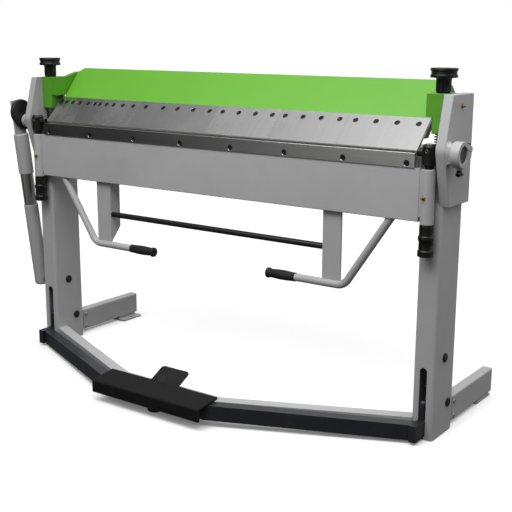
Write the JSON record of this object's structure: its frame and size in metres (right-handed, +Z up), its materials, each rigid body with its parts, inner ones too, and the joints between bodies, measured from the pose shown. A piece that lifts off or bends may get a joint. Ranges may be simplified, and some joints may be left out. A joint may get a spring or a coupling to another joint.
{
  "type": "box and pan brake",
  "caption": "Foot-operated sheet-metal folder: pedal-clamped segmented fingers over a bed, a hand-swung bending leaf on side pivots, and a balance strut.",
  "frame": {"origin": "on the floor under the middle of the machine's overall box", "axes": "+X along the bend to the operator's right, +Y from the operator towards the back, +Z up"},
  "size_m": [1.826, 0.838, 1.104],
  "materials": {
    "grey_paint": "light grey semi-gloss enamel on steel",
    "green_paint": "bright green semi-gloss enamel",
    "black_paint": "black semi-gloss enamel",
    "blue_black_paint": "blue-black satin enamel",
    "ground_steel": "ground and oiled tool steel",
    "spring_steel": "oiled spring wire",
    "polished_steel": "drawn bright tube",
    "black_oxide": "black oxide",
    "zinc_plate": "bright zinc plate",
    "black_plastic": "black moulded plastic",
    "black_rubber": "black moulded rubber"
  },
  "bodies": {
    "frame": {"post_right": "grey_paint", "post_left": "grey_paint", "head_right": "grey_paint", "head_left": "grey_paint", "bed_girder": "grey_paint", "bed_blade": "ground_steel", "tie_beam": "grey_paint", "foot_right": "grey_paint", "foot_left": "grey_paint", "cap_bolts": "black_oxide", "foot_bolts": "zinc_plate", "rod_guides": "black_oxide", "hub_collar": "grey_paint", "head_screws": "black_oxide", "strut_stud": "ground_steel", "clamp_springs": "spring_steel"},
    "clamp": {"clamp_beam": "black_paint", "casting_right": "green_paint", "casting_left": "green_paint", "cover": "green_paint", "finger_screws": "black_oxide", "spindles": "ground_steel", "finger_01": "ground_steel", "finger_02": "ground_steel", "finger_03": "ground_steel", "finger_04": "ground_steel", "finger_05": "ground_steel", "finger_06": "ground_steel", "finger_07": "ground_steel", "finger_08": "ground_steel", "finger_09": "ground_steel", "finger_10": "ground_steel", "finger_11": "ground_steel", "finger_12": "ground_steel", "finger_13": "ground_steel"},
    "clamp_knob_right": {"top_knob_right": "black_plastic"},
    "clamp_knob_left": {"top_knob_left": "black_plastic"},
    "pedal": {"pedal_bar": "blue_black_paint", "pedal_levers": "blue_black_paint", "tread": "black_paint", "tread_mat": "black_rubber", "pedal_foot": "black_rubber"},
    "pivots": {"leaf_shafts": "ground_steel", "pivot_blocks": "black_oxide", "crank": "black_paint"},
    "leaf": {"leaf_plate": "grey_paint", "leaf_rail": "ground_steel", "rail_screws": "black_oxide", "leaf_sleeves": "grey_paint", "handle_right": "grey_paint", "handle_left": "grey_paint", "handle_brackets": "grey_paint", "grips": "black_rubber", "cross_rod": "black_paint"},
    "leaf_knob_right": {"leaf_knob_right": "black_plastic"},
    "leaf_knob_left": {"leaf_knob_left": "black_plastic"},
    "strut_upper": {"strut_fork": "grey_paint"},
    "strut_lower": {"strut_tube": "grey_paint", "strut_rod": "polished_steel"}
  },
  "joints": [
    {"name": "clamp_lift", "type": "slide", "parent": "frame", "child": "clamp", "axis": [0, 0, 1], "range_m": [0, 0.02775], "deforming": ["clamp_springs"]},
    {"name": "pedal_tilt", "type": "hinge", "parent": "frame", "child": "pedal", "pos_m": [0.01, 0.039, 0.0975], "axis": [-1, 0, 0], "range_deg": [0, 30.01]},
    {"name": "clamp_knob_right_turn", "type": "hinge", "parent": "clamp", "child": "clamp_knob_right", "pos_m": [0.812, -0.014, 1.06], "axis": [0, 0, 1], "range_deg": [-360, 360]},
    {"name": "clamp_knob_left_turn", "type": "hinge", "parent": "clamp", "child": "clamp_knob_left", "pos_m": [-0.792, -0.014, 1.06], "axis": [0, 0, 1], "range_deg": [-360, 360]},
    {"name": "leaf_fold", "type": "hinge", "parent": "frame", "child": "pivots", "pos_m": [0.01, -0.081, 0.8715], "axis": [-1, 0, 0], "range_deg": [0, 135]},
    {"name": "leaf_height", "type": "slide", "parent": "pivots", "child": "leaf", "axis": [0, 0, 1], "range_m": [-0.008, 0]},
    {"name": "leaf_knob_right_turn", "type": "hinge", "parent": "leaf", "child": "leaf_knob_right", "pos_m": [0.812, -0.086, 0.62], "axis": [0, 0, 1], "range_deg": [-360, 360]},
    {"name": "leaf_knob_left_turn", "type": "hinge", "parent": "leaf", "child": "leaf_knob_left", "pos_m": [-0.792, -0.086, 0.62], "axis": [0, 0, 1], "range_deg": [-360, 360]},
    {"name": "strut_swing", "type": "hinge", "parent": "pivots", "child": "strut_upper", "pos_m": [0.01, -0.101, 0.9035], "axis": [-1, 0, 0], "range_deg": [-130.19, 0]},
    {"name": "strut_stroke", "type": "slide", "parent": "strut_upper", "child": "strut_lower", "axis": [0, 0.1179, -0.993], "range_m": [-0.0449, 0]}
  ],
  "couplings": [
    {"joint": "pedal_tilt", "follows": "clamp_lift", "rad_per_m": 18.868},
    {"joint": "strut_swing", "follows": "leaf_fold", "ratio": -0.964},
    {"joint": "strut_stroke", "follows": "leaf_fold", "m_per_rad": -0.018973}
  ]
}
